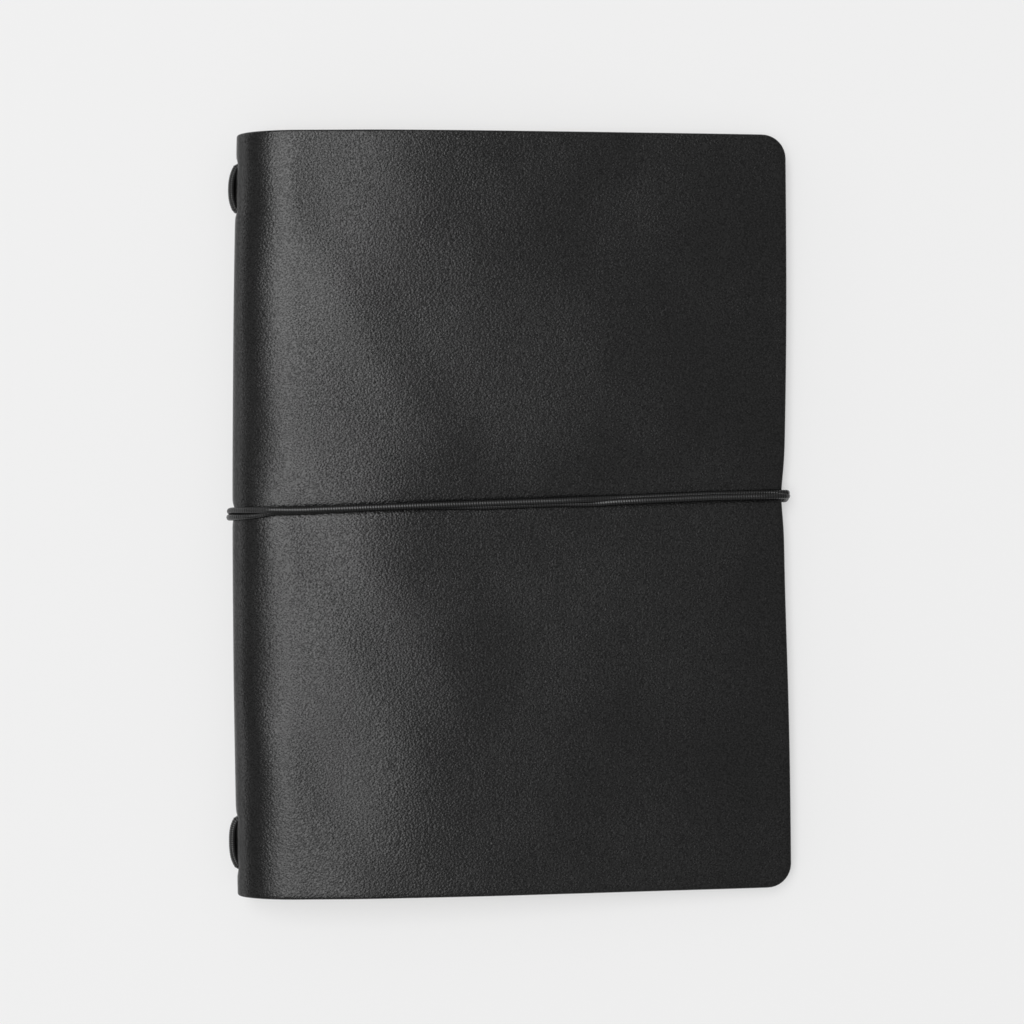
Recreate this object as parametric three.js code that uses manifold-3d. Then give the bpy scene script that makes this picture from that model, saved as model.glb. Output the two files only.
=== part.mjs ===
// A black leather notebook cover with one slim booklet held in it, closed and lying on its back cover.
// Units are millimetres. x runs from the spine to the fore-edge, y from the tail to the head, z up.
// The cover is one sheet of leather. It is divided here where it bends, so that it can open.

import * as THREE from 'three';
import { mergeVertices } from 'three/addons/utils/BufferGeometryUtils.js';
import Module from 'manifold-3d';

const wasm = await Module();
wasm.setup();

// ---------- Driving dimensions ----------

const gap = 0.3; // air between pieces that touch on the real object

const coverHeight = 220; // tail to head
const coverWidth = 161.6; // spine to fore-edge, closed
const leather = 1.6; // thickness of the hide
const crest = 16.5; // outer height of the front cover beside the spine
const foreEdgeTop = 6.4; // outer height of the front cover at the fore-edge
const slopePower = 1.6; // how gently the front cover starts to fall away from its crest
const spineReach = 19; // depth in x of the rounded spine
const spineStripAngle = 20; // degrees up and down from the spine's middle that stay one strip
const foldEnd = 22; // x where the fold becomes the flat cover
const cornerRadius = 7;
const foreEdgeBow = 1.8; // how far the closure pulls the middle of the fore-edge in

const cordRadius = 1; // elastic cord on the spine
const cordHoleRadius = 1.6;
const cordHoleInner = 88.5; // y of the hole with the knot behind it
const cordHoleOuter = 99.5; // y of the hole nearer the end of the spine
const cordLoopReach = 1.6; // how far the loop's centre stands out from the spine

const bandWidth = 1.7; // closure elastic, stretched and pressed against the leather
const bandThickness = 1;
const bandLane = 1; // each of its two turns lies this far from their common middle
const bandRise = 4; // how much further towards the head the closure lies at the fore-edge
const bandHoleRadius = 1.9;
const channelDepth = 1.3; // how deep the closure presses into the underside

const foldX = 8; // the booklet's centre fold, where the cord's inner strand lies
const pageWidth = 148; // a standard sheet size, folded once
const pageHeight = 210;
const leaves = 1.1; // thickness of each half of the leaves
const card = 0.3; // thickness of the booklet's cover
const sheetGap = 0.15; // air between the sheets of the booklet
const leavesSettle = 30; // distance in x over which the lower half comes down to the cover
const sheetStart = 1.4; // the sheets' solids begin this far from the fold, clear of the staples

const stapleWire = 0.5;
const stapleLength = 12;
const stapleOffset = 62; // y of each staple's middle

const middleZ = crest / 2;
const bandClear = gap + bandThickness / 2 + 0.05; // from the leather to the closure's centre line
const pageEnd = foldX + pageWidth - 2;

// ---------- Materials ----------

const blackLeather = new THREE.MeshStandardMaterial({ color: '#2a2a2a', roughness: 0.5, metalness: 0 });
const blackElastic = new THREE.MeshStandardMaterial({ color: '#1d1d1d', roughness: 0.9, metalness: 0 });
const kraftCard = new THREE.MeshStandardMaterial({ color: '#a98a63', roughness: 0.9, metalness: 0 });
const creamPaper = new THREE.MeshStandardMaterial({ color: '#efe9da', roughness: 0.95, metalness: 0 });
const steelWire = new THREE.MeshStandardMaterial({ color: '#b9bbbd', roughness: 0.3, metalness: 1 });

// ---------- Helpers ----------

// The group that holds every piece. Each mesh keeps its own copy of its material.
const notebook = new THREE.Group();

function addPiece(name, geometry, material) {
  const mesh = new THREE.Mesh(geometry, material.clone());
  mesh.name = name;
  notebook.add(mesh);
  return mesh;
}

function toSolid(geometry) {
  const bare = geometry.index ? geometry.toNonIndexed() : geometry.clone();
  bare.deleteAttribute('normal');
  bare.deleteAttribute('uv');
  const merged = mergeVertices(bare, 1e-4);
  return new wasm.Manifold(new wasm.Mesh({
    numProp: 3,
    vertProperties: new Float32Array(merged.attributes.position.array),
    triVerts: new Uint32Array(merged.index.array),
  }));
}

function toGeometry(solid) {
  const mesh = solid.getMesh();
  const geometry = new THREE.BufferGeometry();
  geometry.setAttribute('position', new THREE.BufferAttribute(new Float32Array(mesh.vertProperties), 3));
  geometry.setIndex(new THREE.BufferAttribute(new Uint32Array(mesh.triVerts), 1));
  geometry.computeVertexNormals();
  return geometry;
}

// Closes two lines of [x, z] points into a section and extends it along y, centred on y = 0.
function extendAlongY(outerLine, innerLine, length) {
  const section = new THREE.Shape();
  const points = [...outerLine, ...[...innerLine].reverse()];
  section.setFromPoints(points.map(([x, z]) => new THREE.Vector2(x, z)));
  const geometry = new THREE.ExtrudeGeometry(section, { depth: length, bevelEnabled: false, steps: 1 });
  geometry.rotateX(Math.PI / 2);
  geometry.translate(0, length / 2, 0);
  return geometry;
}

// A smooth route through its points. Steps are shared out evenly between the points, so a long
// straight run takes as few steps as a tight turn.
class CordRoute extends THREE.CatmullRomCurve3 {
  getUtoTmapping(u) {
    return u;
  }
}

function sweepCord(points, width, thickness, stepsPerPoint) {
  const route = new CordRoute(points.map((p) => new THREE.Vector3(...p)), false, 'centripetal');
  const section = new THREE.Shape();
  section.absellipse(0, 0, width / 2, thickness / 2, 0, 2 * Math.PI, false);
  const steps = (points.length - 1) * stepsPerPoint;
  return new THREE.ExtrudeGeometry(section, { extrudePath: route, steps, curveSegments: 4, bevelEnabled: false });
}

function samples(from, to, count) {
  return Array.from({ length: count + 1 }, (_, i) => from + ((to - from) * i) / count);
}

// ---------- The leather's section ----------

// Outer height of the front cover at x.
function frontTop(x) {
  const along = (x - spineReach) / (coverWidth - spineReach);
  return crest - (crest - foreEdgeTop) * Math.max(along, 0) ** slopePower;
}

// A point on the rounded spine, offset outwards, at an angle in degrees: -90 is underneath and 90 on top.
function onSpine(degrees, offset) {
  const angle = THREE.MathUtils.degToRad(degrees);
  const x = spineReach - (spineReach + offset) * Math.cos(angle);
  return [x, middleZ + (middleZ + offset) * Math.sin(angle)];
}

function spineStrip(fromDegrees, toDegrees, steps, outerTail = [], innerTail = []) {
  const angles = samples(fromDegrees, toDegrees, steps);
  const outer = [...angles.map((a) => onSpine(a, 0)), ...outerTail];
  const inner = [...angles.map((a) => onSpine(a, -leather)), ...innerTail];
  return extendAlongY(outer, inner, coverHeight);
}

// ---------- Cover ----------

// Outline of the closed cover seen from above, with rounded corners and a fore-edge bowed in.
function coverOutline() {
  const edge = coverWidth;
  const half = coverHeight / 2;
  const outline = new THREE.Shape();
  outline.moveTo(0, -half);
  outline.lineTo(edge - cornerRadius, -half);
  outline.absarc(edge - cornerRadius, -half + cornerRadius, cornerRadius, -Math.PI / 2, 0, false);
  outline.quadraticCurveTo(edge - 2 * foreEdgeBow, 0, edge, half - cornerRadius);
  outline.absarc(edge - cornerRadius, half - cornerRadius, cornerRadius, 0, Math.PI / 2, false);
  outline.lineTo(0, half);
  const prism = new THREE.ExtrudeGeometry(outline, { depth: 2 * crest, bevelEnabled: false, curveSegments: 8 });
  prism.translate(0, 0, -crest / 2);
  return toSolid(prism);
}

// The shallow channel that the stretched closure presses into the leather under the notebook.
function closureChannel() {
  const width = 2 * bandLane + bandWidth + 2 * gap;
  const channel = new THREE.BoxGeometry(coverWidth + 10, width, 2 * channelDepth);
  channel.rotateZ(Math.atan2(bandRise, coverWidth));
  channel.translate(coverWidth / 2, bandRise / 2, 0);
  return toSolid(channel);
}

const channel = closureChannel();
const outlinePrism = coverOutline();

const backSlab = extendAlongY(
  [[foldEnd + gap / 2, 0], [coverWidth, 0]],
  [[foldEnd + gap / 2, leather], [coverWidth, leather]],
  coverHeight,
);
addPiece('cover_back', toGeometry(toSolid(backSlab).intersect(outlinePrism).subtract(channel)), blackLeather);

const frontXs = samples(foldEnd + gap / 2, coverWidth, 14);
const frontSlab = extendAlongY(
  frontXs.map((x) => [x, frontTop(x)]),
  frontXs.map((x) => [x, frontTop(x) - leather]),
  coverHeight,
);
addPiece('cover_front', toGeometry(toSolid(frontSlab).intersect(outlinePrism)), blackLeather);

const stripGap = 2; // degrees of spine left out where two leather pieces meet
const foldFrom = spineStripAngle + stripGap;
const foldStripEnd = foldEnd - gap / 2;
const foldBack = spineStrip(-foldFrom, -90, 10, [[foldStripEnd, 0]], [[foldStripEnd, leather]]);
addPiece('cover_fold_back', toGeometry(toSolid(foldBack).subtract(channel)), blackLeather);
const foldTop = frontTop(foldStripEnd);
const foldFront = spineStrip(foldFrom, 90, 10, [[foldStripEnd, foldTop]], [[foldStripEnd, foldTop - leather]]);
addPiece('cover_fold_front', foldFront, blackLeather);

// A hole punched through the spine, at mid-thickness.
function spineHole(y, radius) {
  const punch = new THREE.CylinderGeometry(radius, radius, 8, 16);
  punch.rotateZ(Math.PI / 2);
  punch.translate(0, y, middleZ);
  return toSolid(punch);
}

let spine = toSolid(spineStrip(-spineStripAngle, spineStripAngle, 6));
for (const y of [cordHoleInner, cordHoleOuter, -cordHoleInner, -cordHoleOuter]) {
  spine = spine.subtract(spineHole(y, cordHoleRadius));
}
spine = spine.subtract(spineHole(bandLane, bandHoleRadius));
addPiece('cover_spine', toGeometry(spine), blackLeather);

// ---------- Spine cord ----------

// Half of the cord's route, from the knot to the booklet's fold: [x, y] at mid-thickness.
const cordHalf = [
  [leather, cordHoleInner],
  [0, cordHoleInner],
  [-1.25, cordHoleInner + 1.9],
  [-cordLoopReach, (cordHoleInner + cordHoleOuter) / 2],
  [-1.25, cordHoleOuter - 1.9],
  [0, cordHoleOuter],
  [leather, cordHoleOuter + 0.1],
  [2.9, cordHoleOuter + 2],
  [3.1, 104],
  [4.2, 106.8],
  [5.9, 107.6],
  [7.6, 106.4],
  [foldX, 103.5],
  [foldX, 96],
];
const cordRoute = [
  ...cordHalf.map(([x, y]) => [x, y, middleZ]),
  ...[...cordHalf].reverse().map(([x, y]) => [x, -y, middleZ]),
];
addPiece('spine_cord', sweepCord(cordRoute, 2 * cordRadius, 2 * cordRadius, 3), blackElastic);

// A tight overhand knot, pressed flat between the spine and the booklet.
function addKnot(name, y, radius) {
  const depth = 1.3; // half the knot's thickness
  const knot = new THREE.SphereGeometry(radius, 12, 8);
  knot.scale(depth / radius, 1, 1);
  knot.translate(leather + gap + depth + 0.1, y, middleZ);
  addPiece(name, toGeometry(toSolid(knot)), blackElastic);
}

addKnot('spine_cord_knot_head', cordHoleInner, 2.3);
addKnot('spine_cord_knot_tail', -cordHoleInner, 2.3);

// ---------- Closure elastic ----------

// The closure leaves the spine by its hole, goes twice round the notebook and comes back to the hole.
function laneY(x, side) {
  return (bandRise * x) / coverWidth + side * bandLane;
}

function bandOnSpine(degrees, y, extra = 0) {
  const [x, z] = onSpine(degrees, bandClear + extra);
  return [x, y, z];
}

// Over the front, round the fore-edge and back underneath, in one of the two lanes.
function turn(side) {
  const edgeX = coverWidth - foreEdgeBow + gap + bandThickness / 2 + 0.2;
  const over = [19, 50, 80, 110, 140, 154].map((x) => [x, laneY(x, side), frontTop(x) + bandClear]);
  const edgeY = laneY(edgeX, side);
  const corner = 0.7; // how far the centre line stays out from each corner of the leather
  const round = [
    [edgeX - 2.4, edgeY, frontTop(edgeX - 2.4) + bandClear],
    [edgeX - 0.55, edgeY, foreEdgeTop + corner],
    [edgeX, edgeY, foreEdgeTop - 0.5],
    [edgeX, edgeY, foreEdgeTop / 2],
    [edgeX - 0.1, edgeY, channelDepth + 0.2],
    [edgeX - 0.8, edgeY, channelDepth - corner],
    [edgeX - 2.8, edgeY, 0.56],
  ];
  const under = [130, 90, 50, 20, 12].map((x) => [x, laneY(x, side), 0.56]);
  return [...over, ...round, ...under];
}

const crossing = bandThickness + gap + 0.1;
const bandRoute = [
  [leather, bandLane, middleZ + 0.8],
  [0.1, bandLane, middleZ + 1],
  bandOnSpine(18, bandLane),
  bandOnSpine(45, bandLane),
  bandOnSpine(70, bandLane + 0.2),
  ...turn(1),
  [8.2, 0.8, 0.8],
  bandOnSpine(-42, 0),
  bandOnSpine(-20, -bandLane),
  bandOnSpine(0, -bandLane),
  bandOnSpine(20, -bandLane),
  bandOnSpine(45, -bandLane),
  bandOnSpine(70, -bandLane + 0.2),
  ...turn(-1),
  [7.4, -0.9, 0.62],
  bandOnSpine(-42, 0, crossing),
  bandOnSpine(-26, bandLane, crossing),
  bandOnSpine(-12, bandLane, 0.2),
  [0.1, bandLane, middleZ - 1],
  [leather, bandLane, middleZ - 0.8],
];
addPiece('closure_elastic', sweepCord(bandRoute, bandWidth, bandThickness, 2), blackElastic);
addKnot('closure_knot', bandLane, 2.7);

// ---------- Booklet ----------

const strandClear = cordRadius + 0.2;

// Height above the lower cover of a sheet of the lower half, which starts at the fold and settles flat.
function settle(x, startZ, flatZ) {
  const along = THREE.MathUtils.smoothstep(x, foldX, foldX + leavesSettle);
  return startZ + (flatZ - startZ) * along;
}

function addLowerSheet(name, startZ, flatZ, thickness, material) {
  const xs = [...samples(foldX + sheetStart, foldX + leavesSettle, 8), pageEnd];
  const low = xs.map((x) => [x, settle(x, startZ, flatZ)]);
  const high = low.map(([x, z]) => [x, z + thickness]);
  addPiece(name, extendAlongY(low, high, pageHeight), material);
}

function addUpperSheet(name, startZ, endZ, thickness, material) {
  const low = [[foldX + sheetStart, startZ], [pageEnd, endZ]];
  const high = low.map(([x, z]) => [x, z + thickness]);
  addPiece(name, extendAlongY(low, high, pageHeight), material);
}

const cardFlat = leather + sheetGap;
const leavesFlat = cardFlat + card + sheetGap;
const upperLeavesEnd = leavesFlat + leaves + sheetGap;
const lowerLeavesStart = middleZ - strandClear - leaves;
const upperLeavesStart = middleZ + strandClear;
addLowerSheet('booklet_card_back', lowerLeavesStart - sheetGap - card, cardFlat, card, kraftCard);
addLowerSheet('booklet_leaves_back', lowerLeavesStart, leavesFlat, leaves, creamPaper);
addUpperSheet('booklet_leaves_front', upperLeavesStart, upperLeavesEnd, leaves, creamPaper);
addUpperSheet(
  'booklet_card_front',
  upperLeavesStart + leaves + sheetGap,
  upperLeavesEnd + leaves + sheetGap,
  card,
  kraftCard,
);

// A wire staple through the fold: its back outside the card, its legs bent inwards behind the cord.
function addStaple(name, y) {
  const backX = foldX - 2.4;
  const legX = foldX - cordRadius - 0.5;
  const half = stapleLength / 2;
  const points = [
    [legX, y - 1, middleZ],
    [legX, y - half + 0.6, middleZ],
    [backX, y - half, middleZ],
    [backX, y, middleZ],
    [backX, y + half, middleZ],
    [legX, y + half - 0.6, middleZ],
    [legX, y + 1, middleZ],
  ];
  addPiece(name, sweepCord(points, stapleWire, stapleWire, 3), steelWire);
}

addStaple('staple_head', stapleOffset);
addStaple('staple_tail', -stapleOffset);

// The origin is the middle of the whole object on the surface that it lies on.
const spineSide = -cordLoopReach - cordRadius;
notebook.position.set(-(spineSide + coverWidth) / 2, 0, 0);

export default notebook;
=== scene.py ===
# %% [markdown]
# # A black leather notebook cover
# One sheet of soft black hide is folded round at the spine. An elastic cord runs through four small
# holes in the spine and holds one thin stapled booklet, and a longer elastic goes twice round the
# closed notebook. The imported model is the frame: every piece here is placed from its boxes, and the
# cords, knots and staples ride on its bodies.

# %% Load the frame
import math

import bmesh
import bpy
import numpy as np
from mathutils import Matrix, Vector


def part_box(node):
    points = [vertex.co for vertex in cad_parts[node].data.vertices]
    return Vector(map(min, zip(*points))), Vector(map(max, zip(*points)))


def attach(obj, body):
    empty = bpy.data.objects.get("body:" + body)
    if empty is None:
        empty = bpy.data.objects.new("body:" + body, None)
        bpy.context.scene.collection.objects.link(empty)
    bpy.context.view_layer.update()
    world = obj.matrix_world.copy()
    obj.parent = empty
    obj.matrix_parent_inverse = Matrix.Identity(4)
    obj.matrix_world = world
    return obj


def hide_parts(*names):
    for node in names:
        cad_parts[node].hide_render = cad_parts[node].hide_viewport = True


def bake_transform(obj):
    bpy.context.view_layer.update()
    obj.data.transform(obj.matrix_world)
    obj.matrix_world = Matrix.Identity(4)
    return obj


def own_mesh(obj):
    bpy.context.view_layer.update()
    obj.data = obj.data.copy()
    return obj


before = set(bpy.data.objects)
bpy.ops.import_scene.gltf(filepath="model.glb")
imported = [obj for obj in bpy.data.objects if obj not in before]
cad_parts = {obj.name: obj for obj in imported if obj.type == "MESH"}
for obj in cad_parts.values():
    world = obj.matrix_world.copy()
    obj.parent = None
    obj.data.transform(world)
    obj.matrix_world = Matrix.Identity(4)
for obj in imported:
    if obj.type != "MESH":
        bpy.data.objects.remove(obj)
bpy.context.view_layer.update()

# %% [markdown]
# ## Working in millimetres
# Leather, cord and paper are thought of in millimetres, so shapes are worked out in millimetres from
# the outermost line of the spine, and turned into metres in the frame's axes only when a mesh is made.
# The sizes below come from the boxes of the nodes that the pieces stand for.

# %% Sizes from the frame
MM = 0.001
fold_lip = 2.85  # the flat strip between the rounded spine and the cover, on the node of the fold
inner_strand = 1.0  # half the inner strand's thickness on the node of the spine cord
spine_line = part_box("cover_spine")[0][0]
back_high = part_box("cover_back")[1]
cover_width = (back_high[0] - spine_line) / MM
cover_half = back_high[1] / MM
leather = back_high[2] / MM
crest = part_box("cover_fold_front")[1][2] / MM
edge_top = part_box("cover_front")[0][2] / MM + leather
middle = crest / 2
spine_reach = (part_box("cover_fold_back")[1][0] - spine_line) / MM - fold_lip
fold_x = (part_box("spine_cord")[1][0] - spine_line) / MM - inner_strand
page_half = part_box("booklet_leaves_back")[1][1] / MM
page_end = (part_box("booklet_leaves_back")[1][0] - spine_line) / MM
print(f"cover {cover_width:.1f} x {2 * cover_half:.1f} mm, crest {crest:.1f}, fore-edge {edge_top:.1f}")
print(f"leather {leather:.2f} mm, booklet's fold at {fold_x:.2f} mm, its edge at {page_end:.1f} mm")

# %% Turning shapes into pieces


def to_frame(points):
    """Millimetres from the spine's line to metres in the frame: a scale and a shift along x."""
    return np.asarray(points, float) * MM + np.array([spine_line, 0.0, 0.0])


def make_piece(name, grids, material, sharp=None):
    """Makes one closed mesh from grids of points. Each grid is (points, wrap, values): points has shape
    (along, around, 3), wrap closes it around, and values is a dictionary of numbers per point.
    Coinciding points are welded, which closes the poles and the seams, and then faces are turned out."""
    verts, faces, values, first = [], [], {}, 0
    for points, wrap, extra in grids:
        along, around = points.shape[:2]
        index = first + np.arange(along * around).reshape(along, around)
        across = np.roll(index, -1, axis=1) if wrap else index[:, 1:]
        base = index if wrap else index[:, :-1]
        quads = np.stack([base[:-1], across[:-1], across[1:], base[1:]], axis=-1)
        faces.append(quads.reshape(-1, 4))
        verts.append(points.reshape(-1, 3))
        for key, array in extra.items():
            values.setdefault(key, []).append(np.broadcast_to(array, (along, around)).ravel())
        first += along * around
    verts, faces = to_frame(np.concatenate(verts)), np.concatenate(faces)
    mesh = bpy.data.meshes.new(name)
    mesh.from_pydata(verts.tolist(), [], faces.tolist())
    for key, arrays in values.items():
        layer = mesh.attributes.new(key, "FLOAT", "POINT")
        layer.data.foreach_set("value", np.concatenate(arrays).astype(np.float32))
    shape = bmesh.new()
    shape.from_mesh(mesh)
    bmesh.ops.remove_doubles(shape, verts=shape.verts, dist=2e-6)
    bmesh.ops.dissolve_degenerate(shape, edges=shape.edges, dist=1e-7)
    bmesh.ops.recalc_face_normals(shape, faces=shape.faces)
    open_edges = sum(1 for edge in shape.edges if len(edge.link_faces) != 2)
    shape.to_mesh(mesh)
    shape.free()
    mesh.polygons.foreach_set("use_smooth", np.ones(len(mesh.polygons), bool))
    if sharp:
        mesh.set_sharp_from_angle(angle=math.radians(sharp))
    mesh.materials.append(material)
    piece = bpy.data.objects.new(name, mesh)
    bpy.context.scene.collection.objects.link(piece)
    print(f"{name}: {len(mesh.vertices)} points, {len(mesh.polygons)} faces, {open_edges} open edges")
    return piece


# %% [markdown]
# ## Materials
# Each finish is a small tree of nodes. Patterns read Object coordinates, which are metres on the real
# piece, so a Noise or Voronoi scale is simply "features per metre". On cords the pattern has to follow
# the cord, so it reads two numbers that the mesh carries: the distance along and the turn around.

# %% Material helpers


def linear(hex_colour):
    """An sRGB hex colour as the linear RGBA that shaders expect."""
    channels = [int(hex_colour[i:i + 2], 16) / 255 for i in (1, 3, 5)]
    return [c / 12.92 if c <= 0.04045 else ((c + 0.055) / 1.055) ** 2.4 for c in channels] + [1.0]


def add(tree, kind, settings=None, **inputs):
    """Adds a node. settings are its properties; inputs are values or (node, output) links by socket."""
    node = tree.nodes.new("ShaderNode" + kind)
    for key, value in (settings or {}).items():
        setattr(node, key, value)
    for key, value in inputs.items():
        socket = node.inputs[int(key[1:])] if key[1:].isdigit() else node.inputs[key.replace("_", " ")]
        if isinstance(value, tuple) and isinstance(value[0], bpy.types.Node):
            tree.links.new(value[0].outputs[value[1]], socket)
        else:
            socket.default_value = value
    return node


def new_material(name, **surface):
    """An empty material with one Principled surface, whose constant values are set on its sockets."""
    material = bpy.data.materials.new(name)
    material.use_nodes = True
    tree = material.node_tree
    shader = tree.nodes["Principled BSDF"]
    for key, value in surface.items():
        shader.inputs[key.replace("_", " ")].default_value = value
    return material, tree, shader


def per_mm(size):
    """How many features of this size, in millimetres, fit in a metre: the Scale of a texture."""
    return 1.0 / (size * MM)


# %% [markdown]
# ### Black hide
# The grain side of a soft drum-dyed hide has a satin finish: broad, quiet highlights broken up by
# pebbles and wrinkles well under a millimetre across, with drawn creases where the skin has stretched.
# The flesh side and the cut edge are the same black but matt and fibrous. The mesh carries "flesh", 0 on
# the grain side and 1 inside, and the two looks are mixed by it.

# %% Black hide


def black_hide():
    """Grain height is pebbles, creases and pores added up; wrinkles thin the shine; flesh mixes the rest."""
    material, tree, shader = new_material("black_full_grain_hide", IOR=1.45)
    place = add(tree, "TexCoord")
    spot = (place, "Object")
    flesh = add(tree, "Attribute", {"attribute_name": "flesh"})
    # Pebbles: small cells, pushed about by a soft noise so that no row of them shows.
    push = (0.4 * MM,) * 3
    drift = add(tree, "TexNoise", Vector=spot, Scale=per_mm(3), Detail=2.0)
    pushed = add(tree, "VectorMath", {"operation": "MULTIPLY_ADD"}, _0=(drift, "Color"), _1=push, _2=spot)
    turned = add(tree, "Mapping", Vector=(pushed, 0), Rotation=(0, 0, 0.6), Scale=(1.0, 1.25, 1.0))
    pebbles = add(tree, "TexVoronoi", {"feature": "F1"}, Vector=(turned, 0), Scale=per_mm(0.75),
                  Randomness=0.85)
    # Drawn creases run in loose bands across the hide.
    slanted = add(tree, "Mapping", Vector=(pushed, 0), Rotation=(0, 0, 0.75), Scale=(1.0, 0.5, 1.0))
    creases = add(tree, "TexNoise", Vector=(slanted, 0), Scale=per_mm(0.3), Detail=2.0, Roughness=0.5)
    pores = add(tree, "TexNoise", Vector=spot, Scale=per_mm(0.25), Detail=1.0)
    patches = add(tree, "TexNoise", Vector=spot, Scale=per_mm(38), Detail=2.0)
    drawn = add(tree, "MapRange", Value=(patches, 0), From_Min=0.42, From_Max=0.62, To_Min=0.5, To_Max=1.1)
    crease_height = add(tree, "Math", {"operation": "MULTIPLY"}, _0=(creases, 0), _1=(drawn, 0))
    pebble_height = add(tree, "Math", {"operation": "MULTIPLY"}, _0=(pebbles, "Distance"), _1=-1.1)
    grain = add(tree, "Math", {"operation": "ADD"}, _0=(crease_height, 0), _1=(pebble_height, 0))
    grain = add(tree, "Math", {"operation": "MULTIPLY_ADD"}, _0=(pores, 0), _1=0.25, _2=(grain, 0))
    # The flesh side: short fibres.
    fibre = add(tree, "TexNoise", Vector=spot, Scale=per_mm(0.3), Detail=4.0, Roughness=0.75)
    height = add(tree, "Mix", {"data_type": "FLOAT"}, Factor=(flesh, "Fac"), _2=(grain, 0), _3=(fibre, 0))
    bump = add(tree, "Bump", Height=(height, 0), Strength=1.0, Distance=0.042 * MM)
    tree.links.new(bump.outputs[0], shader.inputs["Normal"])
    # The finish is thin and shadowed in the fine wrinkles, so it shines less there.
    wrinkles = add(tree, "TexNoise", Vector=(turned, 0), Scale=per_mm(0.5), Detail=0.5, Roughness=0.5)
    shine = add(tree, "MapRange", Value=(wrinkles, 0), From_Min=0.34, From_Max=0.66, To_Min=0.27, To_Max=0.61)
    tree.links.new(shine.outputs[0], shader.inputs["Specular IOR Level"])
    # Colour: a deep neutral black with painted shade, a shade darker down in the creases and greyer on their
    # ridges; a shade greyer inside.
    tone = add(tree, "ValToRGB", Fac=(creases, 0))
    tone.color_ramp.elements[0].position = 0.3
    tone.color_ramp.elements[0].color = linear("#101010")
    tone.color_ramp.elements[1].position = 0.7
    tone.color_ramp.elements[1].color = linear("#171717")
    inside = linear("#1f1e1d")
    colour = add(tree, "Mix", {"data_type": "RGBA"}, Factor=(flesh, "Fac"), _6=(tone, 0), _7=inside)
    tree.links.new(colour.outputs[2], shader.inputs["Base Color"])
    wear = add(tree, "MapRange", Value=(patches, 0), From_Min=0.3, From_Max=0.7, To_Min=0.21, To_Max=0.26)
    rough = add(tree, "Mix", {"data_type": "FLOAT"}, Factor=(flesh, "Fac"), _2=(wear, 0), _3=0.85)
    tree.links.new(rough.outputs[0], shader.inputs["Roughness"])
    return material


hide = black_hide()
print(hide.name, len(hide.node_tree.nodes), "nodes")

# %% [markdown]
# ### Braided elastic
# The cords are rubber inside a black braid. Stretched, the braid reads as fine ribs that zigzag round
# the cord. The mesh carries "along", in millimetres, and "around", from 0 to 1, so the ribs are a cosine
# of the distance along, shifted back and forth by a triangle wave around the cord, with thread lines
# across them. Polyester thread has a soft sheen on top of each rib.

# %% Braided elastic


rib_slant = 1.2  # how far a rib zigzags round the cord, in ribs per turn


def braided_elastic(name, rib):
    """A braid whose ribs are rib millimetres apart: cosine of 2 pi (along / rib + a zigzag around)."""
    material, tree, shader = new_material(name, IOR=1.5, Roughness=0.25)
    along = add(tree, "Attribute", {"attribute_name": "along"})
    around = add(tree, "Attribute", {"attribute_name": "around"})
    zigzag = add(tree, "Math", {"operation": "PINGPONG"}, _0=(around, "Fac"), _1=0.25)
    slant = add(tree, "Math", {"operation": "MULTIPLY"}, _0=(zigzag, 0), _1=rib_slant)
    phase = add(tree, "Math", {"operation": "MULTIPLY_ADD"}, _0=(along, "Fac"), _1=1.0 / rib, _2=(slant, 0))
    turns = add(tree, "Math", {"operation": "MULTIPLY"}, _0=(phase, 0), _1=2 * math.pi)
    ribs = add(tree, "Math", {"operation": "COSINE"}, _0=(turns, 0))
    threads = add(tree, "Math", {"operation": "MULTIPLY"}, _0=(phase, 0), _1=8 * math.pi)
    threads = add(tree, "Math", {"operation": "COSINE"}, _0=(threads, 0))
    height = add(tree, "Math", {"operation": "MULTIPLY_ADD"}, _0=(threads, 0), _1=0.25, _2=(ribs, 0))
    bump = add(tree, "Bump", Height=(height, 0), Strength=1.0, Distance=0.006 * MM)
    tree.links.new(bump.outputs[0], shader.inputs["Normal"])
    # The threads shine on the ribs' tops and lie in shadow between them.
    shine = add(tree, "MapRange", Value=(ribs, 0), From_Min=-1.0, From_Max=1.0, To_Min=0.25, To_Max=0.95)
    tree.links.new(shine.outputs[0], shader.inputs["Specular IOR Level"])
    # Colour: painted shade, darker down between the ribs and lighter on their tops, plus a random fuzz of
    # tone.
    spot = (add(tree, "TexCoord"), "Object")
    fuzz = add(tree, "TexNoise", Vector=spot, Scale=per_mm(0.8), Detail=3.0)
    lift = add(tree, "MapRange", Value=(ribs, 0), From_Min=-1.0, From_Max=1.0, To_Min=0.0, To_Max=0.8)
    lift = add(tree, "Math", {"operation": "MULTIPLY_ADD"}, _0=(fuzz, 0), _1=0.4, _2=(lift, 0))
    tone = add(tree, "ValToRGB", Fac=(lift, 0))
    tone.color_ramp.elements[0].color = linear("#020202")
    tone.color_ramp.elements[1].color = linear("#0e0e0e")
    tree.links.new(tone.outputs[0], shader.inputs["Base Color"])
    return material


closure_rib = 0.74  # millimetres from rib to rib
cord_rib = 0.62
closure_braid = braided_elastic("black_braided_elastic_stretched", closure_rib)
cord_braid = braided_elastic("black_braided_elastic_relaxed", cord_rib)
print(closure_braid.name, cord_braid.name)

# %% [markdown]
# ### Card, paper and wire
# The booklet's cover is kraft card: brown, with lighter and darker fibres lying along the sheet. The
# leaves are uncoated cream paper, almost even in colour, with a tooth too fine to see except as a slight
# softness. The staples are drawn steel wire.

# %% Card, paper and wire


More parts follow.
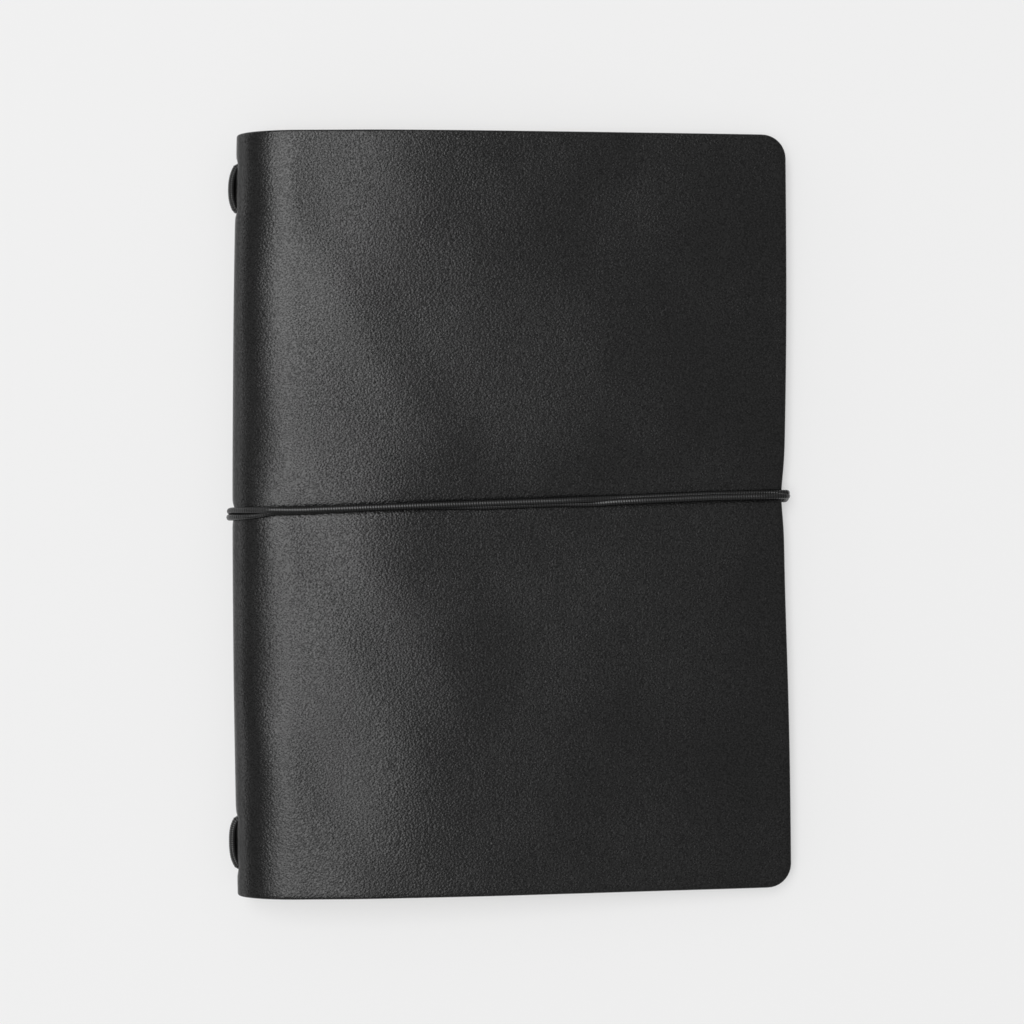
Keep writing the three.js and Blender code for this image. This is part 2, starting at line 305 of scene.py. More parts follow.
def fibre_sheet(name, dark, light, fibre_mm, depth):
    """An uncoated sheet: fibres are a noise stretched along one direction, for colour and for tooth.
    fibre_mm is a fibre's width in millimetres and depth is how deep the tooth is, in metres."""
    material, tree, shader = new_material(name, IOR=1.48, Roughness=0.9)
    spot = (add(tree, "TexCoord"), "Object")
    lying = add(tree, "Mapping", Vector=spot, Rotation=(0, 0, 0.2), Scale=(1.0, 0.18, 1.0))
    fibres = add(tree, "TexNoise", Vector=(lying, 0), Scale=per_mm(fibre_mm), Detail=5.0, Roughness=0.7)
    clouds = add(tree, "TexNoise", Vector=spot, Scale=per_mm(9), Detail=3.0)
    both = add(tree, "Math", {"operation": "MULTIPLY_ADD"}, _0=(clouds, 0), _1=0.35, _2=(fibres, 0))
    tone = add(tree, "ValToRGB", Fac=(both, 0))
    tone.color_ramp.elements[0].position = 0.45
    tone.color_ramp.elements[0].color = linear(dark)
    tone.color_ramp.elements[1].position = 0.85
    tone.color_ramp.elements[1].color = linear(light)
    bump = add(tree, "Bump", Height=(fibres, 0), Strength=0.6, Distance=depth)
    tree.links.new(tone.outputs[0], shader.inputs["Base Color"])
    tree.links.new(bump.outputs[0], shader.inputs["Normal"])
    return material


def drawn_steel():
    """Steel wire: metallic, with fine lines left along it by the die."""
    material, tree, shader = new_material("drawn_steel_wire", Metallic=1.0)
    shader.inputs["Base Color"].default_value = linear("#b4b6b8")
    spot = (add(tree, "TexCoord"), "Object")
    lines = add(tree, "Mapping", Vector=spot, Scale=(1.0, 0.02, 1.0))
    drawn = add(tree, "TexNoise", Vector=(lines, 0), Scale=per_mm(0.1), Detail=2.0)
    rough = add(tree, "MapRange", Value=(drawn, 0), To_Min=0.22, To_Max=0.42)
    bump = add(tree, "Bump", Height=(drawn, 0), Strength=0.5, Distance=0.006 * MM)
    tree.links.new(rough.outputs[0], shader.inputs["Roughness"])
    tree.links.new(bump.outputs[0], shader.inputs["Normal"])
    return material


kraft = fibre_sheet("kraft_card", "#8f6f4a", "#b99468", 0.5, 0.02 * MM)
cream = fibre_sheet("uncoated_cream_paper", "#e9e0cb", "#f3ecdc", 0.3, 0.008 * MM)
wire = drawn_steel()
print(kraft.name, cream.name, wire.name)

# %% [markdown]
# ## The leather
# The cover bends only round the spine, where its section is half an ellipse. Past the crest the front
# cover falls gently to the fore-edge, where it rests on the booklet, and the back cover lies flat. The
# surface is a function of two parameters: how far along the section, and how far from tail to head. The
# wall is built in, so that the cut edges can be rounded as a burnished edge is.
#
# The sheet is made as two pieces that meet edge to edge along the middle of the spine: the lower one
# holds the back cover and its half of the spine, and the upper one the other half and the front cover.
# Both use the same formula, so the meeting line is invisible.

# %% Where the closure runs
# Listed points, x from the spine and y from the middle: the two strands over the front.
# The upper strand climbs towards the head; the lower slips under it, shows beside it, and climbs over.
strand_upper = np.array([[0, 1.3], [5, 1.35], [10, 1.45], [20, 1.3], [31, 1.6], [60, 2.5],
                         [94, 3.4], [117, 4.2], [140, 4.95], [161, 5.2]])
strand_apart = np.array([[0, 1.95], [5, 1.55], [10, 1.0], [15, 0.5], [50, 0.1], [62, 0.4], [71, 0.9],
                         [94, 0.8], [104, 1.25], [112, 1.0], [129, 0.9], [161, 0.85]])
under_middle = np.array([[0, 0.2], [161, 4.4]])


def at(line, x):
    """The value of a listed line at x, running straight between its points."""
    return np.interp(x, line[:, 0], line[:, 1])


def closure_middle(x):
    """The closure's middle over the front: half way between its two strands."""
    return at(strand_upper, x) - at(strand_apart, x) / 2


print("closure at the fore-edge:", round(float(closure_middle(cover_width)), 2), "mm above the middle")

# %% The leather's surface
corner_radius = 7.0
bend_at = 44.0  # x of the middle of the front cover's soft bend
bend_soft = 8.0
edge_round = 0.7  # how far the rounded edge stands out past the faces
hole_heights = np.array([88.4, 100.8, -88.1, -101.6])
closure_hole = 1.0


def bell(distance, width):
    """A smooth bump: 1 in the middle, fading to nothing over a few widths."""
    return np.exp(-((distance / width) ** 2))


def soft_ramp(x):
    """0 before the bend and the distance past it afterwards, rounded over: w ln(1 + e^(d/w))."""
    return bend_soft * np.log1p(np.exp((x - bend_at) / bend_soft))


ramp_full = soft_ramp(cover_width) - soft_ramp(spine_reach)


def front_height(x):
    """Outer height of the front cover: level past the crest, a soft bend, and straight to the edge."""
    fallen = np.maximum(soft_ramp(np.maximum(x, spine_reach)) - soft_ramp(spine_reach), 0)
    return crest - (crest - edge_top) * fallen / ramp_full


def front_slope(x):
    """How steeply the front cover falls: the derivative of its height."""
    steep = -(crest - edge_top) / ramp_full
    return steep / (1 + np.exp(-(x - bend_at) / bend_soft)) * (x > spine_reach)


def round_corners(x, y):
    """Turns the square corners at the fore-edge into arcs: rings that are square round the corner's
    centre become circles of the same radius."""
    dx = np.maximum(x - (cover_width - corner_radius), 0)
    dy = np.maximum(np.abs(y) - (cover_half - corner_radius), 0)
    shrink = np.maximum(dx, dy) / np.maximum(np.hypot(dx, dy), 1e-9)
    both = (dx > 0) & (dy > 0)
    new_x = np.where(both, cover_width - corner_radius + dx * shrink, x)
    new_y = np.where(both, np.sign(y) * (cover_half - corner_radius + dy * shrink), y)
    return new_x, new_y


def lie_of_the_hide(x, y):
    """Slow unevenness of a soft hide, in millimetres: long crossing waves everywhere, and shorter ones
    that fade out past the bend, where the hide is rolled and can't lie quite smooth."""
    slow = (0.16 * np.sin(x / 23 + y / 41 + 0.6) + 0.12 * np.sin(y / 17 - x / 37 + 2.1)
            + 0.08 * np.sin(x / 11 + y / 29 + 4.0))
    rolled = (0.09 * np.sin(y / 9 + x / 5.6 + 1.0) + 0.08 * np.sin(y / 14.5 - x / 6.2 + 3.0)
              + 0.035 * np.sin(y / 5.3 + x / 3.4 + 5.0))
    return slow * np.clip(x / 25, 0, 1) + rolled * (0.25 + 0.75 * bell(x, 42))


def dent_of_the_closure(x, y):
    """How deep the closure presses the front cover in: a narrow groove inside a wide hollow. The round
    part of the spine is stiffer, so the hollow fades out there."""
    off = y - closure_middle(x)
    soft = np.clip(x / spine_reach, 0, 1) ** 1.5
    return 0.3 * bell(off, 2.2) * (0.4 + 0.6 * soft) + 0.25 * bell(off, 9) * soft


def front_top(x, y):
    """Height of the front cover's grain side at x and y."""
    share = np.clip((x - spine_reach) / (cover_width - spine_reach), 0, 1.05)
    return front_height(x) - dent_of_the_closure(x, y) + lie_of_the_hide(x, y) * (1 - 0.6 * share)


def leather_point(side, s, y, h):
    """A point of the hide. s runs along the section: from -1 at the middle of the spine to 0 where the
    rounded part ends, on a quarter of an ellipse, then in millimetres towards the fore-edge. y runs from
    tail to head. h is 1 on the grain side and -1 on the flesh side. side is 1 for the front half of the
    hide and -1 for the back half."""
    angle = np.pi / 2 * (1 + np.minimum(s, 0))
    x = spine_reach * (1 - np.cos(angle)) + np.maximum(s, 0)
    x, y = round_corners(x, y)
    share = np.clip((x - spine_reach) / (cover_width - spine_reach), 0, 1.05)
    if side > 0:
        height = np.where(s < 0, middle * (1 + np.sin(angle)), front_height(x))
        slope = front_slope(x)
    else:
        height = np.where(s < 0, middle * (1 - np.sin(angle)), 0.0)
        slope = np.zeros_like(x)
    nx = np.where(s < 0, -np.cos(angle) / spine_reach, -slope)
    nz = np.where(s < 0, side * np.sin(angle) / middle, side * 1.0)
    length = np.hypot(nx, nz)
    nx, nz = nx / length, nz / length
    inward = leather * (1 - h) / 2
    # The closure draws the fore-edge in, widely and with a small nick under the strands.
    off = y - at(strand_upper, cover_width) + 0.6
    x = x - (1.3 * bell(y + 7, 45) + 0.7 * bell(off, 8)) * share ** 8
    y = y * (1 - 0.004 * share ** 2)
    # The spine stands out most at its middle and leans a little.
    end = y / cover_half
    x = x + (1.4 * end ** 2 + 0.7 * end) * bell(x, 36)
    # The cords press into the hide: a dent under each strand, a dimple at each hole.
    if side > 0:
        inward = inward + dent_of_the_closure(x, y)
        inward = inward - lie_of_the_hide(x, y) * (1 - 0.6 * share) * (1 - bell(s + 1, 0.12))
    else:
        dent = 1.25 * np.clip(1.6 - (np.abs(y - at(under_middle, x)) / 2.0) ** 2, 0, 1)
        low = np.clip(1 - height / 1.2, 0, 1)
        inward = inward + dent * (1 + h) / 2 * low
    at_spine = (s < 0) * (1 + h) / 2
    for hole in hole_heights:
        inward = inward + 1.3 * bell(np.hypot(y - hole, height - middle), 1.5) * at_spine
    inward = inward + 1.2 * bell(np.hypot(y - closure_hole, height - middle), 1.8) * at_spine
    return np.stack([x - nx * inward, y, height - nz * inward], axis=-1)


# %% The two pieces of leather


def stations(*stretches):
    """Places along a line: each stretch is (from, to, step), and the steps come out even."""
    counts = [max(int(round(abs(b - a) / step)), 1) for a, b, step in stretches]
    parts = [np.linspace(a, b, n, endpoint=False) for (a, b, _), n in zip(stretches, counts)]
    return np.append(np.concatenate(parts), stretches[-1][1])


def leather_half(side):
    """Half of the hide as one closed grid: out along the grain side, round the cut edge, back along the
    flesh side. At head and tail the last rows close in a half circle."""
    flat_end = cover_width - spine_reach - edge_round
    line = stations((-1.0, 0.0, 1 / 30), (0.0, flat_end, 1.3))
    turn = np.linspace(np.pi / 2, -np.pi / 2, 9)[1:-1]
    s = np.concatenate([line, flat_end + edge_round * np.cos(turn), line[::-1]])
    h = np.concatenate([np.ones_like(line), np.sin(turn), -np.ones_like(line)])
    end = cover_half - edge_round
    rows = stations((-end, -102, 1.3), (-102, -86, 0.45), (-86, -7, 1.6), (-7, 9, 0.45), (9, 86, 1.6),
                    (86, 102, 0.45), (102, end, 1.3))
    lift = np.linspace(0, np.pi / 2, 6)[1:]
    y = np.concatenate([-(end + edge_round * np.sin(lift))[::-1], rows, end + edge_round * np.sin(lift)])
    close = np.concatenate([np.cos(lift)[::-1], np.ones_like(rows), np.cos(lift)])
    big_s, big_y = np.meshgrid(s, y, indexing="ij")
    big_h = np.outer(h, close)
    points = leather_point(side, big_s, big_y, big_h)
    flesh = np.clip(0.5 - big_h * 1.2, 0, 1)
    return points.transpose(1, 0, 2), True, {"flesh": flesh.T}


hide_front = make_piece("hide_front", [leather_half(1)], hide, sharp=60)
hide_back = make_piece("hide_back", [leather_half(-1)], hide, sharp=60)

# %% [markdown]
# ## Cords
# A cord is a circle carried along a path. The path is a smooth line through given points, the
# circle stands square to it, and its radius rises and falls with the ribs of the braid, so that the
# braid catches the light along the cord's outline too.

# %% A cord along a path


def smooth_path(points, step):
    """A centripetal Catmull-Rom line through the points, cut into even steps along its length."""
    p = np.asarray(points, float)
    p = np.vstack([2 * p[0] - p[1], p, 2 * p[-1] - p[-2]])
    knots = np.concatenate([[0], np.cumsum(np.linalg.norm(np.diff(p, axis=0), axis=1) ** 0.5)])
    t = np.linspace(knots[1], knots[-2], 60 * len(points))
    i = np.clip(np.searchsorted(knots, t, side="right") - 1, 1, len(p) - 3)
    t0, t1, t2, t3 = (knots[i + k] for k in (-1, 0, 1, 2))
    p0, p1, p2, p3 = (p[i + k] for k in (-1, 0, 1, 2))

    def mix(a, b, ta, tb):
        """Between a at time ta and b at time tb, in step with t."""
        w = ((t - ta) / (tb - ta))[:, None]
        return a * (1 - w) + b * w

    a1, a2, a3 = mix(p0, p1, t0, t1), mix(p1, p2, t1, t2), mix(p2, p3, t2, t3)
    line = mix(mix(a1, a2, t0, t2), mix(a2, a3, t1, t3), t1, t2)
    length = np.concatenate([[0], np.cumsum(np.linalg.norm(np.diff(line, axis=0), axis=1))])
    even = np.linspace(0, length[-1], int(length[-1] / step) + 1)
    return np.stack([np.interp(even, length, line[:, k]) for k in range(3)], axis=1), even


def cord_grid(points, radius, rib, square_to, step=0.22, sides=16, flat=None, depth=0.05):
    """A braided cord, as a circle of sides points at every step of its path. square_to is a direction
    that the path never runs along: it sets where the turn around starts. flat gives, for each point of
    the path, how much thinner the cord is pressed. depth is how deep the ribs are. The ends close on a
    half circle. Returns the grid and the cord's length."""
    path, along = smooth_path(points, step)
    tangent = np.gradient(path, axis=0)
    tangent /= np.linalg.norm(tangent, axis=1, keepdims=True)
    normal = np.cross(tangent, np.asarray(square_to, float))
    normal /= np.linalg.norm(normal, axis=1, keepdims=True)
    across = np.cross(tangent, normal)
    around = np.arange(sides) / sides
    turn = 2 * np.pi * around
    zigzag = rib_slant * np.abs((around / 0.25 + 1) % 2 - 1) * 0.25
    ribs = np.cos(2 * np.pi * (along[:, None] / rib + zigzag[None, :]))
    ends = np.minimum(along, along[-1] - along)
    close = np.sqrt(1 - np.clip(1 - ends / radius, 0, 1) ** 2)
    size = (radius + depth * (ribs - 1) / 2) * close[:, None]
    thin = np.ones(len(path)) if flat is None else flat(path)
    points = (path[:, None, :] + (size * np.cos(turn))[..., None] * normal[:, None, :] * thin[:, None, None]
              + (size * np.sin(turn))[..., None] * across[:, None, :])
    values = {"along": along[:, None], "around": around[None, :]}
    return (points, True, values), along[-1]


# %% [markdown]
# ### The spine cord
# One elastic of a little over two millimetres. Behind each inner hole it ends in a knot; it comes out,
# stands off the spine in a short bow, goes in again at the outer hole, round the end of the booklet, and
# down its fold.

# %% The spine cord
cord_radius = 1.22


def spine_shift(y):
    """How far the leaning spine stands in from its outermost line at y."""
    end = y / cover_half
    return 1.4 * end ** 2 + 0.7 * end


def cord_stretch(inner, outer, sign):
    """The cord's points on one half, from its knot to the middle of the booklet's fold, following the
    lean of the spine where it touches it. inner and outer are how far its holes are from the middle."""
    half = np.array([[3.0, inner], [1.3, inner], [0.35, inner + 0.3], [-0.35, inner + 1.5],
                     [-0.85, inner + 3.3], [-1.08, (inner + outer) / 2], [-0.85, outer - 3.3],
                     [-0.35, outer - 1.5], [0.35, outer - 0.3], [1.3, outer], [2.3, outer + 0.6],
                     [3.1, outer + 1.8], [3.5, 104.9], [4.3, 106.9], [5.9, 107.6], [7.5, 106.5],
                     [fold_x, 103.6], [fold_x, 96], [fold_x, 60]])
    y = sign * half[:, 1]
    x = half[:, 0] + spine_shift(y) * np.clip(1 - half[:, 0] / 6, 0, 1)
    return np.stack([x, y, np.full(len(half), middle)], axis=1)


head_half = cord_stretch(*hole_heights[:2], 1)
tail_half = cord_stretch(*-hole_heights[2:], -1)
cord_points = np.vstack([head_half, tail_half[::-1]])
cord_part, cord_length = cord_grid(
    cord_points, cord_radius, cord_rib, (0, 0, 1), step=0.11, sides=14, depth=0.14)
spine_cord = make_piece("elastic_spine_cord", [cord_part], cord_braid)
print(f"spine cord: {cord_length:.0f} mm")

# %% [markdown]
# ### The closure
# One elastic, knotted inside the spine, that goes twice round the notebook. Over the front its two turns
# cross slowly; each rests on the hide or on the other turn, so its height is worked out from how far
# apart they lie: two round cords touching make a right triangle with their distance as its long side.

# %% The closure's route
strand_radius = 0.96
touching = 1.76  # distance between the centres of two strands that press on each other
sunk = 0.1  # how far a strand is pressed into the hide
swap = 108.0  # x where the upper strand passes from over to under
swap_soft = 5.0
climb_start = 2.0  # x where one strand starts to climb onto the other, and how long it takes
climb_length = 18.0
lane = 0.85  # underneath, each strand lies this far from their common middle
edge_in = 1.8  # how far the cover's fore-edge is drawn in where the closure passes


def on_spine(degrees, y, off):
    """A point beside the rounded spine: 0 degrees at its middle, 90 on top, -90 underneath."""
    a = math.radians(degrees)
    shift = float(spine_shift(y)) if degrees < 90 else 0.0
    return [spine_reach - (spine_reach + off) * math.cos(a) + shift, y, middle + (middle + off) * math.sin(a)]


def over_front(x, upper):
    """Centres of one strand over the front at each x: the height of the hide, half a strand, and on the
    strand that is on top the short side of the triangle, eased in at the spine and out at the swap."""
    x = np.asarray(x, float)
    apart = at(strand_apart, x)
    y = at(strand_upper, x) - (0 if upper else 1) * apart
    climb = np.clip((x - climb_start) / climb_length, 0, 1)
    lift = np.sqrt(np.maximum(touching ** 2 - apart ** 2, 0)) * np.tanh((swap - x) / swap_soft) * climb
    on_top = np.maximum(lift, 0) if upper else np.maximum(-lift, 0)
    return np.stack([x, y, front_top(x, y) + strand_radius - sunk + on_top], axis=1).tolist()


def round_edge(upper):
    """Round the fore-edge and back underneath, where the cord is pressed flat in the hide."""
    y = float(at(strand_upper, 160)) - (0 if upper else float(at(strand_apart, 160)))
    side = lane if upper else -lane
    y_low = float(at(under_middle, 158)) + side
    out = cover_width - edge_in + (1.35 if upper else 1.45)
    turn = [[out - 2.4, y, edge_top + 0.75 + (0.0 if upper else 0.75)], [out - 0.35, y, edge_top + 0.15],
            [out, y, edge_top - 1.6], [out, (y + y_low) / 2, edge_top / 2], [out - 0.1, y_low, 1.6],
            [out - 0.9, y_low, 0.75], [out - 3, y_low, 0.55]]
    low_x = [140, 110, 80, 50, 25, 13]
    low = [[x, float(at(under_middle, x)) + side, 0.55] for x in low_x]
    return turn + low


front_x = [12, 16, 21, 27, 34, 42, 50, 57, 64, 71, 79, 87,
           95, 101, 106, 111, 117, 124, 132, 140, 148, 155]
hole = closure_hole
closure_points = (
    [[3.3, hole, middle + 0.6], [1.2, hole, middle + 0.75], [-0.5, hole + 0.1, middle + 1.1]]
    + [on_spine(20, 1.3, 0.85), on_spine(42, 1.35, 1.1), on_spine(60, 1.4, 1.5)]
    + over_front(front_x, True) + round_edge(True)
    + [[8.0, 0.7, 0.75], on_spine(-45, 0.0, 0.65), on_spine(-22, -0.6, 0.75), on_spine(0, -0.65, 0.85)]
    + [on_spine(20, -0.55, 0.85), on_spine(42, -0.4, 0.65), on_spine(58, 0.0, 0.55)]
    + over_front(front_x, False) + round_edge(False)
    + [[7.2, -0.8, 0.65], on_spine(-46, -0.1, 1.7), on_spine(-28, 0.8, 1.9), on_spine(-10, 1.05, 0.9)]
    + [[0.1, hole, middle - 0.75], [1.2, hole, middle - 0.7], [3.3, hole, middle - 0.6]]
)


def pressed(path):
    """How round the closure is: a third thinner under the notebook, a little thinner elsewhere."""
    return 0.93 - 0.27 * np.clip(1.25 - path[:, 2] / 1.2, 0, 1)


closure_part, closure_length = cord_grid(
    closure_points, strand_radius, closure_rib, (0, 1, 0), step=0.13, sides=16, flat=pressed, depth=0.04)
closure = make_piece("elastic_closure", [closure_part], closure_braid)
print(f"closure, stretched: {closure_length:.0f} mm")

# %% [markdown]
# ### Knots
# An overhand knot is a trefoil: a line that goes twice round a centre while it swings in and out three
# times. Pulled tight and pressed between the spine and the booklet it is a flat lump with three lobes.
# The tail that is left past the knot is a short stub with a rounded end.

# %% Knots


def knot_grids(y, strand, spread, x_middle, depth):
    """Twice round with three swings: in y and z the trefoil, in x a swing between two layers. strand is
    the radius of the tightened cord and spread the size of the trefoil."""
    t = np.linspace(0, 2 * np.pi, 61)
    plane_y = (np.sin(t) + 1.7 * np.sin(2 * t)) * spread
    plane_z = (np.cos(t) - 1.7 * np.cos(2 * t)) * spread
    layer = -np.sin(3 * t) * depth
    loop = np.stack([x_middle + layer, y + plane_y, middle + plane_z], axis=1)
    body, _ = cord_grid(loop, strand, 0.6, (1, 0.01, 0.02), step=0.25, sides=12, depth=0.05)
    tail_line = [[x_middle, y - 0.6 * spread, middle + 0.5], [x_middle + 0.2, y - 2.4 * spread, middle + 1.4],
                 [x_middle + 0.1, y - 4.6 * spread, middle + 1.6]]
    tail, _ = cord_grid(tail_line, strand * 0.95, 0.6, (1, 0.01, 0.02), step=0.25, sides=12, depth=0.05)
    return [body, tail]


knot_x = leather + 1.75  # the middle of each knot, just behind the hide
knot_layer = 0.5  # how far its strand swings to either side of that
for name, node, y, strand, spread in (
        ("knot_head", "spine_cord_knot_head", hole_heights[0], 0.72, 0.62),
        ("knot_tail", "spine_cord_knot_tail", hole_heights[2], 0.72, 0.62),
        ("knot_closure", "closure_knot", closure_hole, 0.7, 0.78)):
    shift = float(spine_shift(y)) * 0.6
    knot = make_piece(name, knot_grids(y, strand, spread, knot_x + shift, knot_layer), cord_braid)
    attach(knot, "spine")
    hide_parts(node)

# %% [markdown]
# ## The booklet
# Ten sheets and a card are folded together round the inner strand of the cord and stapled. Each is a
# thin sheet: a quarter turn round the fold, then a run to the fore-edge. The lower half settles on the
# back cover and the upper half lies in a nearly straight line above it. Each sheet's edge steps out a
# little past the one outside it, as sheets folded in a bundle do.

# %% A folded half sheet
settle_length = 30.0  # the lower half comes down to the cover over this distance
quarter = np.linspace(0, np.pi / 2, 7)
run = stations((0.0, 1.0, 1 / 34))


def half_sheet(side, order, wall, bend, lie, creep, rng):
    """Half of a folded sheet as a closed grid: out along one face and back along the other. bend is the
    radius at the fold and lie(share) the height of its middle along the run. side is 1 for the upper
    half, -1 for the lower."""
    reach = page_end - creep - fold_x
    arc_x = fold_x - bend * np.cos(quarter)
    arc_z = side * bend * np.sin(quarter)
    run_x = fold_x + run[1:] * reach
    run_z = lie(run[1:])
    wave = 0.02 * np.sin(run[1:] * 9 + order)
    line_x = np.concatenate([arc_x, run_x])
    line_z = np.concatenate([middle + arc_z, run_z + wave * rng.uniform(0.4, 1.0)])
    slope_x, slope_z = np.gradient(line_x), np.gradient(line_z)
    length = np.hypot(slope_x, slope_z)
    nx, nz = -slope_z / length, slope_x / length
    faces_x = np.concatenate([line_x + nx * wall / 2, (line_x - nx * wall / 2)[::-1]])
    faces_z = np.concatenate([line_z + nz * wall / 2, (line_z - nz * wall / 2)[::-1]])
    y = np.linspace(-page_half, page_half, 13) * (1 - 0.0004 * rng.uniform(-1, 1))
    closed_y = np.concatenate([[y[0]], y, [y[-1]]])
    flat = np.concatenate([[0.0], np.ones(len(y)), [0.0]])
    mid_x = (faces_x + faces_x[::-1]) / 2
    mid_z = (faces_z + faces_z[::-1]) / 2
    grid_x = mid_x + (faces_x - mid_x) * flat[:, None]
    grid_z = mid_z + (faces_z - mid_z) * flat[:, None]
    grid_y = np.repeat(closed_y[:, None], len(faces_x), axis=1)
    return np.stack([grid_x, grid_y, grid_z], axis=-1), True, {}


def settle(start, flat):
    """Comes down from the fold in a smooth S, 3 t^2 - 2 t^3, and then lies flat."""
    def lie(share):
        """The height at this share of the run."""
        t = np.clip(share * (page_end - fold_x) / settle_length, 0, 1)
        return start + (flat - start) * t * t * (3 - 2 * t)
    return lie


def straight(start, end):
    """Runs straight from start to end."""
    return lambda share: start + (end - start) * share


# %% Leaves and card
rng = np.random.default_rng(7)
leaf_count = 10
leaf_wall = 0.085
leaf_pitch = 0.105
inner_bend = 1.3
card_wall = 0.28
lower_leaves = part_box("booklet_leaves_back")[0][2] / MM
upper_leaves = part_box("booklet_leaves_front")[0][2] / MM
lower_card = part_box("booklet_card_back")[0][2] / MM
upper_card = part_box("booklet_card_front")[0][2] / MM

booklet = []
for side, body, half in ((-1, "booklet_back", "back"), (1, "booklet_front", "front")):
    grids = []
    for order in range(leaf_count):
        bend = inner_bend + leaf_pitch * order
        start = middle + side * bend
        if side < 0:
            flat = lower_leaves + leaf_pitch * (leaf_count - 1 - order) + leaf_wall / 2
            lie = settle(start, flat)
        else:
            lie = straight(start, upper_leaves + leaf_pitch * order + leaf_wall / 2)
        grids.append(half_sheet(side, order, leaf_wall, bend, lie, 0.12 * order, rng))
    leaves = make_piece(f"leaves_{half}", grids, cream, sharp=40)
    bend = inner_bend + leaf_pitch * leaf_count + card_wall / 2 + 0.02
    start = middle + side * bend
    if side < 0:
        lie = settle(start, lower_card + card_wall / 2)
    else:
        lie = straight(start, upper_card + card_wall / 2)
    card = make_piece(f"card_{half}", [half_sheet(side, 0, card_wall, bend, lie, 1.1, rng)], kraft, sharp=40)
    booklet.append((leaves, card, body, half, side))

# %% Staples
staple_half = 6.0
wire_radius = 0.22
staple_back = fold_x - inner_bend - leaf_pitch * leaf_count - card_wall - wire_radius - 0.06
staple_leg = fold_x - cord_radius - 0.16
for name in ("staple_head", "staple_tail"):
    low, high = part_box(name)
    y = (low[1] + high[1]) / 2 / MM
    route = [[staple_leg, y - 1.2, middle], [staple_leg, y - staple_half + 0.8, middle],
             [staple_leg - 0.1, y - staple_half + 0.15, middle], [staple_back + 0.3, y - staple_half, middle],
             [staple_back, y - staple_half + 0.3, middle], [staple_back, y, middle],
             [staple_back, y + staple_half - 0.3, middle], [staple_back + 0.3, y + staple_half, middle],
             [staple_leg - 0.1, y + staple_half - 0.15, middle], [staple_leg, y + staple_half - 0.8, middle],
             [staple_leg, y + 1.2, middle]]
    part, _ = cord_grid(route, wire_radius, 1.0, (0, 0, 1), step=0.12, sides=10, depth=0.0)
    staple = make_piece(name + "_wire", [part], wire)
    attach(staple, "spine")
    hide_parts(name)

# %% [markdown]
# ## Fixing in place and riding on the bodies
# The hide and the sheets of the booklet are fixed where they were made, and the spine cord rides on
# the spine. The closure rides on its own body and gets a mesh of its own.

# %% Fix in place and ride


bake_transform(hide_back)
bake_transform(hide_front)
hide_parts("cover_back", "cover_fold_back", "cover_spine")
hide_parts("cover_front", "cover_fold_front")

for leaves, card, body, half, side in booklet:
    for piece in (leaves, card):
        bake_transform(piece)
    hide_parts(f"booklet_leaves_{half}")
    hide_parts(f"booklet_card_{half}")

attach(spine_cord, "spine")
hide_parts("spine_cord")
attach(closure, "closure")
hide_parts("closure_elastic")
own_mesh(closure)

# %% [markdown]
# ## Floor, light and camera
# The notebook lies on a plain pale ground. The camera looks straight down, turned by less than half a
# degree. Three level softboxes, one inside the other, hang above and to the left of the spine, like one
# long box that is brightest inside: their reflection is the broad highlight along the crest, they light
# the ground, and they leave a short soft shadow past the fore-edge. A low white card beside the spine
# gives the rim its thin light. A dim, even surround fills the rest, so the hide stays black where no
# softbox is reflected.

# %% Floor


def pale_ground():
    """Matt, with a little glow of its own so that shadows on it stay light."""
    material, tree, shader = new_material("pale_matt_ground", Roughness=1.0, Specular_IOR_Level=0.0)
    shader.inputs["Base Color"].default_value = (0.47, 0.47, 0.47, 1.0)
    shader.inputs["Emission Color"].default_value = (1.0, 1.0, 1.0, 1.0)
    shader.inputs["Emission Strength"].default_value = 0.44
    return material


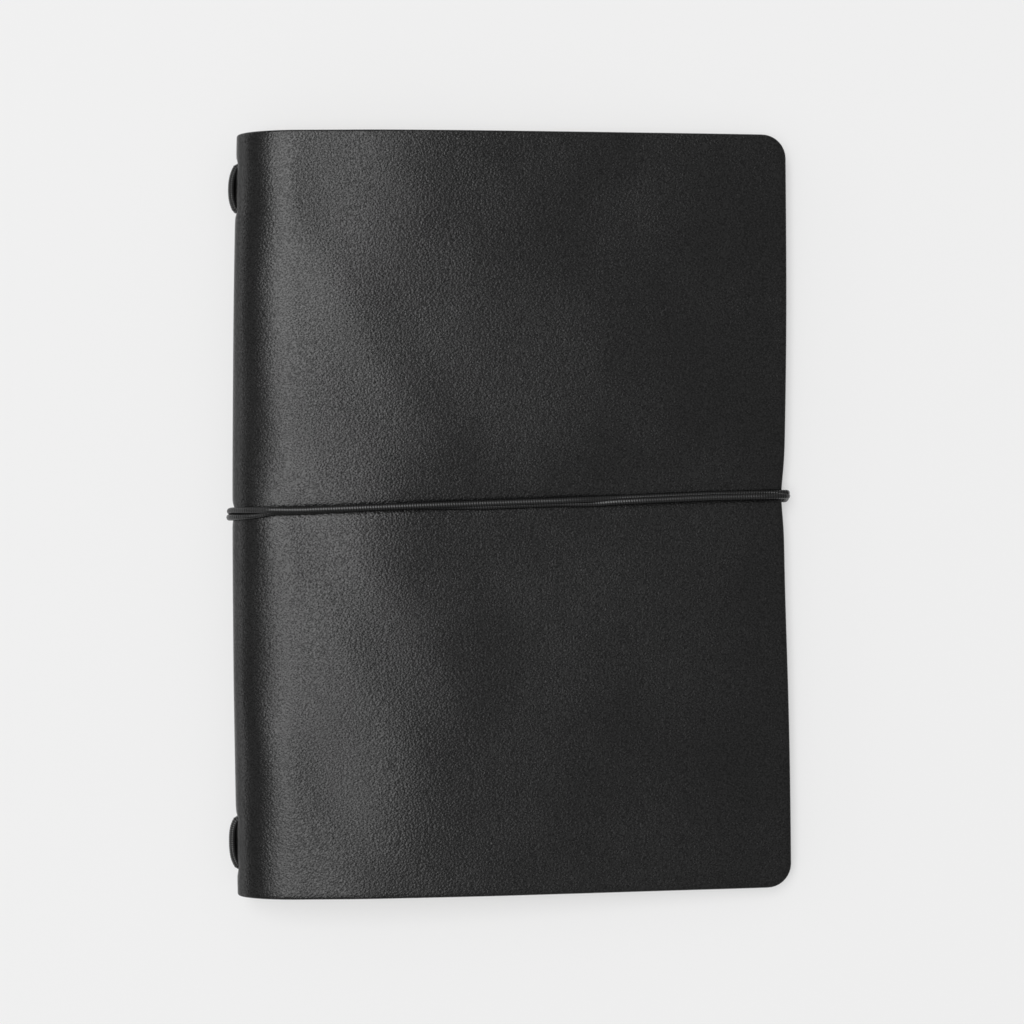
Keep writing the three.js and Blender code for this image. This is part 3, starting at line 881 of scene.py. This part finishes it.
ground = bpy.data.meshes.new("ground")
reach = 8.0  # metres from the middle to each side
corners = [(-reach, -reach, 0), (reach, -reach, 0), (reach, reach, 0), (-reach, reach, 0)]
ground.from_pydata(corners, [], [(0, 1, 2, 3)])
ground.materials.append(pale_ground())
floor = bpy.data.objects.new("ground", ground)
bpy.context.scene.collection.objects.link(floor)
floor.location.z = -0.0001

# %% Light
scene = bpy.context.scene
scene.view_settings.view_transform = "Standard"
scene.view_settings.look = "None"


def softbox(name, low, high, height, radiance):
    """A level rectangle of light, facing down, over the span low to high in x and y at a height. Its
    power is pi times its area times the radiance that it shows in a reflection."""
    data = bpy.data.lights.new(name, "AREA")
    data.shape = "RECTANGLE"
    data.size, data.size_y = high[0] - low[0], high[1] - low[1]
    data.energy = math.pi * data.size * data.size_y * radiance
    light = bpy.data.objects.new(name, data)
    light.location = ((low[0] + high[0]) / 2, (low[1] + high[1]) / 2, height)
    scene.collection.objects.link(light)
    return light


# Places are in metres.
softbox("wide_softbox", (-3.7, -2.6), (0.0, 4.8), 6.0, 1.7)
softbox("long_softbox", (-3.1, -2.0), (-0.3, 4.4), 5.95, 2.0)
softbox("head_softbox", (-3.0, 0.6), (-0.1, 4.4), 5.9, 0.9)

card_radiance = 1.1
card_light = bpy.data.lights.new("low_card", "AREA")
card_light.shape = "RECTANGLE"
card_light.size = 1.7
card_light.size_y = 9.0
card_light.energy = math.pi * card_light.size * card_light.size_y * card_radiance
low_card = bpy.data.objects.new("low_card", card_light)
low_card.location = (-5.0, 0.0, 0.85)
low_card.rotation_euler = (0.0, math.radians(-90), 0.0)
scene.collection.objects.link(low_card)

world = bpy.data.worlds.new("even_surround")
scene.world = world
world.use_nodes = True
world.node_tree.nodes["Background"].inputs["Color"].default_value = (1, 1, 1, 1)
world.node_tree.nodes["Background"].inputs["Strength"].default_value = 0.34

# %% Camera
camera_data = bpy.data.cameras.new("straight_down")
camera_data.sensor_width = 36.0
camera_data.lens = 63.1
camera_data.clip_start = 0.01
camera = bpy.data.objects.new("straight_down", camera_data)
centre_x = spine_line + (cover_width / 2 + 0.2) * MM
camera.location = (centre_x, 0.3 * MM, crest * MM + 0.512)
camera.rotation_euler = (0.0, 0.0, math.radians(-0.45))
scene.collection.objects.link(camera)
scene.camera = camera
print("camera", [round(v, 4) for v in camera.location])

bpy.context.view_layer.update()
